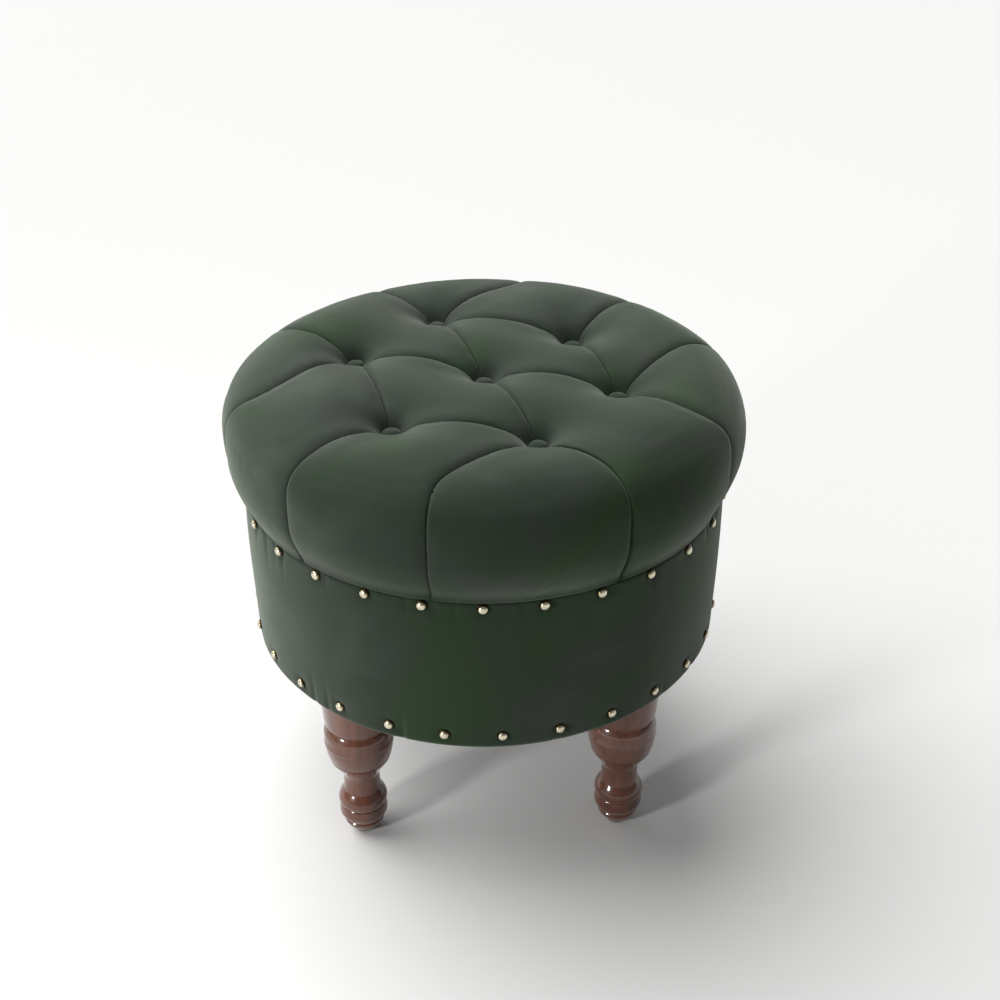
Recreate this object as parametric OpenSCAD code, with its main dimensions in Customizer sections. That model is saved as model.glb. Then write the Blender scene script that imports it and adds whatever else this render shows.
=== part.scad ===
// Round storage ottoman: a velvet-covered plywood drum on four turned legs, under a
// hinged lid with deep button tufting and two rows of domed nails round the drum.
// Millimetres, +Z up. The origin is on the floor, under the drum's axis; the hinge is at +Y.

/* [Overall] */
// Height of the legs, from the floor to the underside of the drum
leg_h = 190; // [170:5:240]
// Outer diameter of the upholstered drum
drum_d = 466; // [380:2:600]
// Height of the drum, from its underside to the seam under the lid
drum_h = 162; // [130:1:260]
// Height of the lid, from the seam to the top of its puffs
lid_h = 109; // [90:1:140]
// How far the lid's cushion swells past the drum
lid_bulge = 14; // [10:1:24]
// Height of the lid's widest line above the seam
bulge_h = 44; // [30:1:55]

/* [Timber] */
// Thickness of the drum's bent plywood shell
shell_t = 9; // [6:0.5:12]
// Radial width of the plywood ring inside the drum's mouth
ring_w = 24; // [20:1:36]
// Thickness of that ring
ring_t = 18; // [15:1:24]
// Thickness of the drum's floor board
floor_t = 15; // [12:1:20]
// Thickness of the lid's board
lid_board_t = 12; // [12:1:18]

/* [Upholstery] */
// Thickness of the velvet and of the other cloths
cover_t = 1.2; // [0.8:0.1:2]
// Thickness of the wadding under the velvet
wadding_t = 5; // [3:0.5:8]
// Thickness of the liner panel inside the drum
lining_t = 1.6; // [1:0.1:3]
// Thickness of the padded panel on the drum's floor
floor_pad_t = 3; // [2:0.5:6]
// Open gap between the closed lid and the drum
seam_gap = 0.6; // [0.6:0.1:2]
// Width of the velvet turned under the lid's board
lid_turn_under = 53; // [45:1:70]
// Width of the velvet turned under the drum
drum_turn_under = 33; // [20:1:40]

/* [Tufting] */
// Diameter of a covered button
button_d = 17; // [14:0.5:22]
// Height of a button, from its flat back to the top of its dome
button_h = 5.5; // [4:0.5:8]
// Depth of a button's back below the top of the puffs
button_depth = 23; // [16:1:30]
// Radius of the ring of six buttons round the middle one
button_ring_r = 128; // [100:1:150]
// Direction of the first button of the ring, in degrees from +X
button_turn = -15; // [-60:1:60]
// Bearing to add and share of button_ring_r for each button in the ring: they are set by hand, so
// none is quite at its even place, and the diamonds are a little longer one way than the other
button_shifts = [[-1.5, 1], [-5, 0.93], [3.5, 1.07], [-4.5, 1.02], [3, 1], [4, 1.02]];
// Radius of the waxed twine that holds a button
twine_r = 0.8; // [0.5:0.1:1.2]

/* [Nail trim] */
// Diameter of a domed nail head
nail_d = 10.5; // [8:0.5:12]
// Height of a nail's dome
nail_h = 3; // [2:0.1:4]
// Nails in one full row
nail_count = 28; // [20:1:40]
// Distance of the upper row below the seam
upper_nail_drop = 5.9; // [5.9:0.1:20]
// Distance of the lower row above the drum's underside
lower_nail_rise = 16; // [10:1:40]
// Direction of the first nail of the upper row
upper_nail_turn = -2.5; // [-10:0.1:10]
// Direction of the first nail of the lower row
lower_nail_turn = 1.6; // [-10:0.1:10]

/* [Legs] */
// Distance of a leg's axis in from the drum's outer face
leg_inset = 49; // [44:1:70]
// Radius of a leg at its top
leg_top_r = 36; // [30:1:40]
// Radius of a leg's upper bulb
bulb_r = 35; // [28:1:38]
// Radius of a leg's narrow neck
neck_r = 18.5; // [15:0.5:22]
// Radius of the hanger bolt in the top of a leg
bolt_r = 4; // [3:0.5:5]
// Radius of a felt glide
glide_r = 11; // [8:0.5:12]
// Thickness of a felt glide
glide_t = 3; // [2:0.5:5]

/* [Hinges] */
// Distance of each hinge's middle from the drum's middle plane
hinge_x = 48; // [40:1:56]
// Width of one hinge
hinge_w = 36; // [30:1:40]
// Distance of the hinge pin behind the drum's outer face
hinge_out = 4.5; // [4.5:0.5:8]
// Thickness of a hinge leaf
leaf_t = 1.5; // [1.2:0.1:2]
// Outer radius of a hinge knuckle
knuckle_r = 3.2; // [2.8:0.1:4]
// Radius of a hinge pin
pin_r = 1.5; // [1:0.1:2]

/* [Lid stay] */
// How far the lid opens, in degrees
open_angle = 95; // [80:1:100]
// Distance of the stay's outer plate from the drum's middle plane
stay_x = 84; // [76:1:90]
// Distance of the lid pivot in front of the hinge pin
lid_pivot_reach = 89; // [80:1:100]
// Distance of the lid pivot below the hinge pin
lid_pivot_drop = 12; // [11:1:16]
// Distance of the drum pivot in front of the hinge pin
drum_pivot_reach = 73.7; // [70:0.1:80]
// Distance of the drum pivot below the hinge pin
drum_pivot_drop = 51.6; // [48:0.1:60]
// Width of a stay arm
arm_w = 10; // [8:0.5:12]
// Thickness of a stay arm and of its brackets
arm_t = 2; // [1.5:0.1:3]
// Radius of a stay rivet
rivet_r = 2; // [1.5:0.1:2.5]

/* [Hidden] */

$fn = 64;
// Clearances: between glued layers, round a shaft that turns, round a driven screw
layer_gap = 0.1;
running = 0.05;
screw_fit = 0.02;
// Air between plates that slide past each other
plate_gap = 0.3;
eps = 0.01;

// Drum, from the outside in
drum_r = drum_d / 2;
shell_out = drum_r - cover_t - wadding_t - layer_gap;
shell_in = shell_out - shell_t;
ring_out = shell_in - layer_gap;
ring_in = ring_out - ring_w;
mouth_r = ring_in - layer_gap - cover_t;
seam_z = leg_h + drum_h;
drum_top = seam_z - seam_gap / 2;
timber_top = drum_top - cover_t;
timber_bottom = leg_h + cover_t;
ring_bottom = timber_top - ring_t;
floor_top = timber_bottom + floor_t;
leg_r = drum_r - leg_inset;
drum_flange_in = drum_r - drum_turn_under;

// Lid, from the underside up
lid_bottom = seam_z + seam_gap / 2;
lid_board_z = lid_bottom + cover_t;
lid_board_top = lid_board_z + lid_board_t;
lid_board_r = drum_r - cover_t - wadding_t - 2 * layer_gap;
lid_r = drum_r + lid_bulge;
lid_top = seam_z + lid_h;
bulge_z = seam_z + bulge_h;
lid_flange_in = drum_r - lid_turn_under;

// The lid's outline: how square its shoulder is, and how the swell under it bends
side_power = 7.6;
crown_power = 4.8;
swell_power = 2.8;
shoulder_split = 0.85;

// Buttons and the pits that they pull into the cushion
button_z = lid_top - button_depth;
pit_margin = 1.5;
anchor_r = 9;
anchor_t = 1.5;

// Hinges
axis_y = drum_r + hinge_out;
leaf_gap = 0.4;
drum_leaf_z = seam_z - leaf_gap / 2 - leaf_t;
lid_leaf_z = seam_z + leaf_gap / 2;
leaf_edge = axis_y - knuckle_r - plate_gap;
leaf_in = sqrt(pow(ring_in, 2) - pow(hinge_x - hinge_w / 2, 2)) + 3;
knuckles = 5;
knuckle_w = hinge_w / knuckles;
leaf_screws = [[-12, 7], [12, 7], [0, 15]];
leaf_screw_l = 12;

// Staples
staple_w = 10;
staple_wire = 1;
staple_crown = 0.5;
staple_leg = 6;
staple_count = 32;

// Stay: the pivots' places, and the plates' layers along X
lid_pivot = [axis_y - lid_pivot_reach, seam_z - lid_pivot_drop];
drum_pivot = [axis_y - drum_pivot_reach, seam_z - drum_pivot_drop];
elbow = [lid_pivot[0] - drum_pivot_reach, lid_pivot[1] - drum_pivot_drop];
layer = arm_t + plate_gap;
lower_arm_x = stay_x - layer;
upper_arm_x = stay_x - 2 * layer;
lid_plate_x = stay_x - 3 * layer;
rivet_head_r = 4;
rivet_head_t = 1;
eye_r = arm_w / 2 + 2;
foot_w = 20;
foot_l = 14;
drum_foot_y = sqrt(pow(ring_in, 2) - pow(stay_x + arm_t - foot_w, 2)) - 1;
bracket_screw_l = 12;

velvet = "#3a4a3e";
timber = "#c8a878";
mahogany = "#5a2f22";
brass = "#c9c2a2";
steel = "#a9adb0";
cloth = "#26282a";

// ---- shared shapes ----

module tube(r_out, r_in, z0, z1) {
    translate([0, 0, z0])
        rotate_extrude($fn = 128)
            translate([r_in, 0])
                square([r_out - r_in, z1 - z0]);
}

module disc(r, z0, z1) {
    translate([0, 0, z0])
        cylinder(r = r, h = z1 - z0, $fn = 128);
}

// Countersunk screw, head up, its face at z = 0
module flush_screw(len, grow = 0) {
    head_r = 3.3;
    shank_r = 1.75;
    rotate_extrude($fn = 32)
        polygon([
            [0, 0], [head_r + grow, 0], [shank_r + grow, -leaf_t - grow],
            [shank_r + grow, 2 - len], [0, -len - grow]
        ]);
}

// Pan-head screw, head down, its head's underside seated at z = 0
module pan_screw(len, grow = 0) {
    rotate_extrude($fn = 32)
        polygon([
            [0, -1.6], [2, -1.4], [3.2, -0.5], [3.4, 0],
            [1.75 + grow, 0], [1.75 + grow, len - 2], [0, len + grow]
        ]);
}

module cross_slot(z) {
    for (a = [0, 90])
        rotate([0, 0, a])
            translate([-2, -0.4, z - 0.5])
                cube([4, 0.8, 1]);
}

module at_legs() {
    for (a = [45 : 90 : 315])
        rotate([0, 0, a])
            translate([leg_r, 0, 0])
                children();
}

// ---- drum ----

// Cutter for both hinges' leaves, from the leaf's inner edge out past the pin
module leaf_recess(z0, z1) {
    for (s = [-1, 1])
        translate([s * hinge_x - hinge_w / 2 - layer_gap, leaf_in - layer_gap, z0])
            cube([hinge_w + 2 * layer_gap, axis_y - leaf_in + 30, z1 - z0]);
}

module drum_leaf_cut() {
    leaf_recess(drum_leaf_z, seam_z + 1);
}

module floor_board() {
    color(timber)
        difference() {
            disc(shell_in - layer_gap, timber_bottom, floor_top);
            at_legs() {
                translate([0, 0, timber_bottom - 1])
                    cylinder(r = bolt_r + 1 + running, h = floor_t + 2);
                translate([0, 0, floor_top - 1.6])
                    cylinder(r = 11.1, h = 2);
            }
        }
}

module drum_shell() {
    color(timber)
        difference() {
            tube(shell_out, shell_in, timber_bottom, timber_top);
            drum_leaf_cut();
        }
}

module top_ring() {
    color(timber)
        difference() {
            tube(ring_out, ring_in, ring_bottom, timber_top);
            drum_leaf_cut();
            drum_leaf_screws(screw_fit);
            stay_drum_screw_set(screw_fit);
        }
}

module wall_wadding() {
    color("white")
        difference() {
            tube(drum_r - cover_t - eps, shell_out + layer_gap - eps, timber_bottom, timber_top);
            drum_leaf_cut();
        }
}

// One piece of velvet: turned under the drum, up the wall, over the top and down inside the ring
module drum_cover() {
    color(velvet)
        difference() {
            rotate_extrude($fn = 128)
                polygon([
                    [drum_flange_in, leg_h], [drum_r, leg_h], [drum_r, drum_top],
                    [mouth_r, drum_top], [mouth_r, ring_bottom],
                    [mouth_r + cover_t, ring_bottom], [mouth_r + cover_t, timber_top],
                    [drum_r - cover_t, timber_top], [drum_r - cover_t, timber_bottom],
                    [drum_flange_in, timber_bottom]
                ]);
            drum_leaf_cut();
        }
}

module inner_lining() {
    color("#6b6f66")
        tube(ring_out, ring_out - lining_t, floor_top, ring_bottom);
}

module floor_pad() {
    color("#6b6f66")
        disc(ring_out - lining_t - layer_gap, floor_top, floor_top + floor_pad_t);
}

module underside_cloth() {
    color(cloth)
        difference() {
            disc(drum_flange_in - layer_gap, leg_h, timber_bottom);
            at_legs()
                translate([0, 0, leg_h - 1])
                    cylinder(r = bolt_r + 1, h = cover_t + 2);
        }
}

// Staple with its crown's outer face at z = 0 and its legs up
module staple() {
    translate([-staple_w / 2, -staple_wire / 2, 0])
        cube([staple_w, staple_wire, staple_crown]);
    for (s = [-1, 1])
        translate([s * (staple_w - staple_wire) / 2 - staple_wire / 2, -staple_wire / 2, 0])
            cube([staple_wire, staple_wire, staple_leg]);
}

module staple_ring(r, z, keep_off) {
    for (k = [0 : staple_count - 1]) {
        a = 360 * k / staple_count;
        from_leg = norm([r * cos(a), r * sin(a)] - leg_r * sqrt(0.5) * [sign(cos(a)), sign(sin(a))]);
        if (from_leg > keep_off)
            rotate([0, 0, a])
                translate([r, 0, z - staple_crown])
                    rotate([0, 0, 90])
                        staple();
    }
}

module underside_staples() {
    color(steel)
        staple_ring(drum_flange_in + 4, leg_h, leg_top_r + staple_w);
}

// Domed nail: the head's back at z = 0, the shank down
module nail() {
    steps = 5;
    shank_r = 0.9;
    shank_l = 10;
    rotate_extrude($fn = 24)
        polygon(concat(
            [for (i = [0 : steps]) [nail_d / 2 * cos(90 * i / steps), nail_h * sin(90 * i / steps)]],
            [[0, -shank_l], [shank_r, 2 - shank_l], [shank_r, 0]]
        ));
}

// A row leaves out the nails that the hinge leaves cross
module nail_row(z, turn, clear_of_hinges) {
    for (k = [0 : nail_count - 1]) {
        a = turn + 360 * k / nail_count;
        x = drum_r * cos(a);
        crossed = sin(a) > 0 && abs(abs(x) - hinge_x) < hinge_w / 2 + nail_d / 2 + 0.5;
        if (!(clear_of_hinges && crossed))
            rotate([0, 0, a])
                translate([drum_r + running, 0, z])
                    rotate([0, 90, 0])
                        nail();
    }
}

module upper_nails() {
    color(brass)
        nail_row(seam_z - upper_nail_drop, upper_nail_turn, true);
}

module lower_nails() {
    color(brass)
        nail_row(leg_h + lower_nail_rise, lower_nail_turn, false);
}

// ---- legs ----

// Crests and hollows of the turning, as [height, radius]; the top collar takes up any change in height
LEG_KEYS = [
    [glide_t, glide_r + 2], [12, 21], [22, 19.5], [27, 24.3], [40, 25.2],
    [77, neck_r], [96, 25.5], [102, bulb_r - 5], [124, bulb_r], [146, bulb_r - 5.5],
    [152, leg_top_r - 2.5], [leg_h, leg_top_r]
];

// Smooth S-curve from each crest to the next hollow
function leg_curve(steps) = [
    for (k = [0 : len(LEG_KEYS) - 2], i = [0 : steps - 1])
        let (t = i / steps, s = (1 - cos(180 * t)) / 2, a = LEG_KEYS[k], b = LEG_KEYS[k + 1])
            [a[1] + (b[1] - a[1]) * s, a[0] + (b[0] - a[0]) * t]
];

bolt_in_leg = 36;

module leg(angle) {
    color(mahogany)
        rotate([0, 0, angle])
            translate([leg_r, 0, 0])
                difference() {
                    rotate_extrude($fn = 64)
                        polygon(concat([[0, glide_t]], leg_curve(5), [[leg_top_r, leg_h], [0, leg_h]]));
                    translate([0, 0, leg_h - bolt_in_leg])
                        cylinder(r = bolt_r + screw_fit, h = bolt_in_leg + 1);
                }
}

module leg_bolts() {
    color(steel)
        at_legs()
            translate([0, 0, leg_h - bolt_in_leg + 1])
                cylinder(r = bolt_r, h = floor_top - 0.2 - (leg_h - bolt_in_leg + 1));
}

module tee_nuts() {
    color(steel)
        at_legs()
            difference() {
                union() {
                    translate([0, 0, floor_top - 12])
                        cylinder(r = bolt_r + 1, h = 11);
                    translate([0, 0, floor_top - 1.6])
                        cylinder(r = 11, h = 1.5);
                }
                translate([0, 0, timber_bottom])
                    cylinder(r = bolt_r + running, h = floor_t + 1);
            }
}

module foot_glides() {
    color("#4a4640")
        at_legs()
            cylinder(r = glide_r, h = glide_t);
}

// ---- hinges ----

module at_leaf_screws() {
    for (s = [-1, 1], p = leaf_screws)
        translate([s * hinge_x + p[0], leaf_in + p[1], 0])
            children();
}

// One leaf, from its inner edge to the pin, with every second knuckle from first on
module leaf(z, first) {
    difference() {
        union() {
            translate([-hinge_w / 2, leaf_in, z])
                cube([hinge_w, leaf_edge - leaf_in, leaf_t]);
            for (i = [first : 2 : knuckles - 1])
                translate([-hinge_w / 2 + i * knuckle_w + layer_gap, 0, 0]) {
                    translate([0, leaf_edge - eps, z])
                        cube([knuckle_w - 2 * layer_gap, axis_y - leaf_edge, leaf_t]);
                    translate([0, axis_y, seam_z])
                        rotate([0, 90, 0])
                            cylinder(r = knuckle_r, h = knuckle_w - 2 * layer_gap, $fn = 32);
                }
        }
        translate([-hinge_w, axis_y, seam_z])
            rotate([0, 90, 0])
                cylinder(r = pin_r + running, h = 2 * hinge_w, $fn = 32);
    }
}

module hinge_drum_leaves() {
    color(steel)
        difference() {
            for (s = [-1, 1])
                translate([s * hinge_x, 0, 0])
                    leaf(drum_leaf_z, 0);
            drum_leaf_screws(layer_gap);
        }
}

module hinge_lid_leaves() {
    color(steel)
        difference() {
            for (s = [-1, 1])
                translate([s * hinge_x, 0, 0])
                    leaf(lid_leaf_z, 1);
            lid_leaf_screws(layer_gap);
        }
}

module hinge_pins() {
    color(steel)
        for (s = [-1, 1])
            translate([s * hinge_x - hinge_w / 2, axis_y, seam_z])
                rotate([0, 90, 0]) {
                    cylinder(r = pin_r, h = hinge_w, $fn = 32);
                    for (z = [-0.8, hinge_w])
                        translate([0, 0, z])
                            cylinder(r = pin_r + 0.8, h = 0.8, $fn = 32);
                }
}

module drum_leaf_screws(grow = 0) {
    at_leaf_screws()
        translate([0, 0, drum_leaf_z + leaf_t])
            flush_screw(leaf_screw_l, grow);
}

module lid_leaf_screws(grow = 0) {
    at_leaf_screws()
        translate([0, 0, lid_leaf_z])
            mirror([0, 0, 1])
                flush_screw(leaf_screw_l, grow);
}

module hinge_drum_screws() {
    color(steel)
        difference() {
            drum_leaf_screws();
            at_leaf_screws()
                cross_slot(drum_leaf_z + leaf_t);
        }
}

module hinge_lid_screws() {
    color(steel)
        difference() {
            lid_leaf_screws();
            at_leaf_screws()
                cross_slot(lid_leaf_z);
        }
}

// ---- lid stay ----

module plate(x, points) {
    translate([x, 0, 0])
        rotate([90, 0, 90])
            linear_extrude(arm_t)
                polygon(points);
}

module eye(x, at, r, h = arm_t) {
    translate([x, at[0], at[1]])
        rotate([0, 90, 0])
            cylinder(r = r, h = h, $fn = 32);
}

module arm(x, from, to, hole_from, hole_to) {
    run = to - from;
    side = arm_w / 2 * [-run[1], run[0]] / norm(run);
    difference() {
        union() {
            plate(x, [from - side, to - side, to + side, from + side]);
            eye(x, from, arm_w / 2);
            eye(x, to, arm_w / 2);
        }
        eye(x - 1, from, hole_from, arm_t + 2);
        eye(x - 1, to, hole_to, arm_t + 2);
    }
}

// A rivet through the layers from x0 to x1, with a head at each end
module rivet(at, x0, x1) {
    eye(x0 - plate_gap / 2, at, rivet_r, x1 - x0 + plate_gap);
    eye(x0 - plate_gap / 2 - rivet_head_t, at, rivet_head_r, rivet_head_t);
    eye(x1 + plate_gap / 2, at, rivet_head_r, rivet_head_t);
}

// Screw places on a bracket's foot
module at_foot_screws(x, y) {
    for (d = [5, 14])
        translate([x + d, y + foot_l / 2, 0])
            children();
}

foot_x = stay_x + arm_t - foot_w;
lid_foot_x = lid_plate_x + arm_t - foot_w;
lid_foot_y = lid_pivot[0] - foot_l / 2;

module stay_drum_screw_set(grow = 0) {
    at_foot_screws(foot_x, drum_foot_y)
        translate([0, 0, ring_bottom - arm_t])
            pan_screw(bracket_screw_l, grow);
}

module stay_lid_screw_set(grow = 0) {
    at_foot_screws(lid_foot_x - 2, lid_foot_y)
        translate([0, 0, lid_bottom - arm_t])
            pan_screw(bracket_screw_l, grow);
}

module stay_drum_bracket() {
    foot_y1 = drum_foot_y + foot_l;
    lug_lift = open_angle - atan2(lid_pivot_drop, lid_pivot_reach);
    color(steel)
        difference() {
            union() {
                plate(stay_x, [
                    drum_pivot + [-eye_r, 0], drum_pivot + [2 - eye_r, 30],
                    [drum_foot_y, ring_bottom], [foot_y1, ring_bottom],
                    [foot_y1, ring_bottom - 8], drum_pivot + [eye_r, -3]
                ]);
                eye(stay_x, drum_pivot, eye_r);
                translate([foot_x, drum_foot_y, ring_bottom - arm_t])
                    cube([foot_w, foot_l, arm_t]);
                // Stop lug that the lower arm meets when the lid is fully open
                translate([lower_arm_x, drum_pivot[0], drum_pivot[1]])
                    rotate([180 - lug_lift, 0, 0])
                        translate([0, 16, -arm_w / 2 - plate_gap - 4])
                            cube([arm_t + plate_gap + eps, 10, 4]);
            }
            eye(stay_x - 1, drum_pivot, rivet_r + running, arm_t + 2);
            stay_drum_screw_set(running);
        }
}

module stay_drum_screws() {
    color(steel)
        difference() {
            stay_drum_screw_set();
            at_foot_screws(foot_x, drum_foot_y)
                cross_slot(ring_bottom - arm_t - 1.6);
        }
}

module stay_drum_rivet() {
    color(steel)
        rivet(drum_pivot, lower_arm_x, stay_x + arm_t);
}

module stay_lower_arm() {
    color(steel)
        arm(lower_arm_x, drum_pivot, elbow, rivet_r + running, rivet_r + running);
}

module stay_elbow_rivet() {
    color(steel)
        rivet(elbow, upper_arm_x, lower_arm_x + arm_t);
}

module stay_upper_arm() {
    color(steel)
        arm(upper_arm_x, lid_pivot, elbow, rivet_r + running, rivet_r + 2 * running);
}

module stay_lid_bracket() {
    color(steel)
        difference() {
            union() {
                plate(lid_plate_x, [
                    lid_pivot + [-eye_r, 0], [lid_foot_y, lid_bottom],
                    [lid_foot_y + foot_l, lid_bottom], lid_pivot + [eye_r, 0]
                ]);
                eye(lid_plate_x, lid_pivot, eye_r);
                translate([lid_foot_x, lid_foot_y, lid_bottom - arm_t])
                    cube([foot_w, foot_l, arm_t]);
            }
            eye(lid_plate_x - 1, lid_pivot, rivet_r + running, arm_t + 2);
            stay_lid_screw_set(running);
        }
}

module stay_lid_screws() {
    color(steel)
        difference() {
            stay_lid_screw_set();
            at_foot_screws(lid_foot_x - 2, lid_foot_y)
                cross_slot(lid_bottom - arm_t - 1.6);
        }
}

module stay_lid_rivet() {
    color(steel)
        rivet(lid_pivot, lid_plate_x, upper_arm_x + arm_t);
}

// ---- lid ----

function button_places() = concat(
    [[0, 0]],
    [for (k = [0 : 5]) let (shift = button_shifts[k], a = button_turn + 60 * k + shift[0])
        button_ring_r * shift[1] * [cos(a), sin(a)]]
);

// Height above the widest line at a share w of the radius, and the other way round
function crown(w) = pow(1 - pow(w, side_power), 1 / crown_power);
function flank(v) = pow(1 - pow(v, crown_power), 1 / side_power);

// The cushion's outline, inset by d: up the swell, round the shoulder and in to the axis
function lid_outline(d) =
    let (swell = 8, side = 6, top = 8, r = lid_r - d, h = lid_top - bulge_z - d, r0 = flank(shoulder_split))
    concat(
        [for (i = [0 : swell - 1]) let (a = 90 * i / swell)
            [drum_r - d + lid_bulge * pow(sin(a), swell_power),
             lid_bottom + (bulge_z - lid_bottom) * (1 - cos(a))]],
        [for (i = [0 : side - 1]) let (v = shoulder_split * i / side) [r * flank(v), bulge_z + h * v]],
        [for (i = [0 : top]) let (w = r0 * (1 - pow(i / top, 1.5))) [r * w, bulge_z + h * crown(w)]]
    );

module lid_solid(d) {
    rotate_extrude($fn = 128)
        polygon(concat([[0, lid_bottom]], lid_outline(d)));
}

module at_buttons() {
    for (p = button_places())
        translate([p[0], p[1], 0])
            children();
}

// The pits that the buttons pull, grown by d for the layers below the velvet
module pits(d) {
    rim = button_depth + 5;
    r0 = button_d / 2 + pit_margin + d * (sqrt(2) - 1);
    at_buttons()
        translate([0, 0, button_z - d])
            cylinder(r1 = r0, r2 = r0 + rim, h = rim);
}

module twine_holes() {
    at_buttons()
        translate([0, 0, lid_board_z])
            cylinder(r = twine_r + 3 * layer_gap, h = lid_h, $fn = 16);
}

// A layer of the cushion between the insets d0 and d1, above z
module lid_layer(d0, d1, z) {
    difference() {
        lid_solid(d0);
        pits(d0);
        difference() {
            lid_solid(d1);
            pits(d1);
            disc(lid_r, lid_bottom - 1, z);
        }
        disc(lid_flange_in, lid_bottom - 1, z);
        twine_holes();
    }
}

module lid_leaf_cut() {
    leaf_recess(seam_z - 1, lid_leaf_z + leaf_t);
}

module lid_cover() {
    color(velvet)
        difference() {
            lid_layer(0, cover_t, lid_board_z);
            lid_leaf_cut();
        }
}

module lid_wadding() {
    inset = cover_t + layer_gap;
    color("white")
        difference() {
            lid_solid(inset);
            pits(inset);
            difference() {
                lid_solid(inset + wadding_t);
                pits(inset + wadding_t);
            }
            disc(lid_r, lid_bottom - 1, lid_board_z);
            twine_holes();
            lid_leaf_cut();
        }
}

module lid_foam() {
    inset = cover_t + wadding_t + 2 * layer_gap;
    color("#e8e0b0")
        difference() {
            lid_solid(inset);
            pits(inset);
            disc(lid_r, lid_bottom - 1, lid_board_top);
            twine_holes();
        }
}

module lid_board() {
    color(timber)
        difference() {
            disc(lid_board_r, lid_board_z, lid_board_top);
            lid_leaf_cut();
            lid_leaf_screws(screw_fit);
            stay_lid_screw_set(screw_fit);
            at_buttons() {
                translate([0, 0, lid_board_z - 1])
                    cylinder(r = anchor_r + layer_gap, h = anchor_t + layer_gap + 1);
                translate([0, 0, lid_board_z])
                    cylinder(r = twine_r + 3 * layer_gap, h = lid_board_t + 1, $fn = 16);
            }
        }
}

module lid_lining() {
    color("#6b6f66")
        difference() {
            disc(lid_flange_in - layer_gap, lid_bottom, lid_board_z);
            stay_lid_screw_set(screw_fit);
        }
}

module lid_staples() {
    color(steel)
        staple_ring(lid_flange_in + 6, lid_bottom, 0);
}

// Covered button: a flat-backed dome
module button(k) {
    steps = 6;
    p = button_places()[k];
    color(velvet)
        translate([p[0], p[1], button_z])
            rotate_extrude($fn = 32)
                polygon(concat(
                    [[0, 0], [button_d / 2 - 1, 0]],
                    [for (i = [0 : steps]) [button_d / 2 * cos(90 * i / steps), 1 + (button_h - 1) * sin(90 * i / steps)]]
                ));
}

module button_twines() {
    foot = lid_board_z + anchor_t + layer_gap;
    color("#d8d2c0")
        at_buttons()
            translate([0, 0, foot])
                cylinder(r = twine_r, h = button_z - foot, $fn = 16);
}

module button_anchors() {
    color(steel)
        at_buttons()
            difference() {
                translate([0, 0, lid_board_z])
                    cylinder(r = anchor_r, h = anchor_t);
                for (s = [-2, 2])
                    translate([s, 0, lid_board_z - 1])
                        cylinder(r = 1, h = anchor_t + 2, $fn = 16);
            }
}

floor_board();
drum_shell();
top_ring();
wall_wadding();
drum_cover();
inner_lining();
floor_pad();
underside_cloth();
underside_staples();
upper_nails();
lower_nails();
leg(225);  // leg_front_left
leg(315);  // leg_front_right
leg(45);  // leg_back_right
leg(135);  // leg_back_left
leg_bolts();
tee_nuts();
foot_glides();
hinge_drum_leaves();
hinge_lid_leaves();
hinge_pins();
hinge_drum_screws();
hinge_lid_screws();
stay_drum_bracket();
stay_drum_screws();
stay_drum_rivet();
stay_lower_arm();
stay_elbow_rivet();
stay_upper_arm();
stay_lid_bracket();
stay_lid_screws();
stay_lid_rivet();
lid_board();
lid_foam();
lid_wadding();
lid_cover();
lid_lining();
lid_staples();
button(0);  // button_1
button(1);  // button_2
button(2);  // button_3
button(3);  // button_4
button(4);  // button_5
button(5);  // button_6
button(6);  // button_7
button_twines();
button_anchors();
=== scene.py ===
import math

import bpy
import numpy as np
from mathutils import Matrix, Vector
from mathutils.geometry import delaunay_2d_cdt
from mathutils.kdtree import KDTree


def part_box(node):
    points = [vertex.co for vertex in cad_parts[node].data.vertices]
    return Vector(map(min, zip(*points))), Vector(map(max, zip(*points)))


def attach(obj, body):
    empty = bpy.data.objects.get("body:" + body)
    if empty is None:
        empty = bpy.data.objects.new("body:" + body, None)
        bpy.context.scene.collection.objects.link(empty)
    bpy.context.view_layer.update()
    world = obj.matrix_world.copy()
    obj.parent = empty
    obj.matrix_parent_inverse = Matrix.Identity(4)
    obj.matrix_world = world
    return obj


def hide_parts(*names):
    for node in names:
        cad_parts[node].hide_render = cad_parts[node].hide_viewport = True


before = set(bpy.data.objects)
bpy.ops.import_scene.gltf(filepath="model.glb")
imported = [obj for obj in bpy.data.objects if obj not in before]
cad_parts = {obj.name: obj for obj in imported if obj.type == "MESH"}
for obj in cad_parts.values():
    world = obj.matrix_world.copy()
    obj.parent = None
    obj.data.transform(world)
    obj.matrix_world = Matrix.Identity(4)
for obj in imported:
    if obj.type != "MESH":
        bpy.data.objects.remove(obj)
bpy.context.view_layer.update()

# ---- Camera ----
# A standard lens about 1.4 m from the ottoman and a metre above the floor, looking down on the
# front with the lid's far rim in full view.
camera_data = bpy.data.cameras.new("camera")
camera_data.lens = 48.1
camera_data.sensor_width = 36.0
camera_data.shift_y = -0.0081
camera = bpy.data.objects.new("camera", camera_data)
camera.location = (-0.0395, -1.1317, 1.0142)
view_direction = Vector((0.0412, 0.8509, -0.5237))
camera.rotation_euler = view_direction.to_track_quat("-Z", "Y").to_euler()
bpy.context.collection.objects.link(camera)
bpy.context.scene.camera = camera


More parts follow.
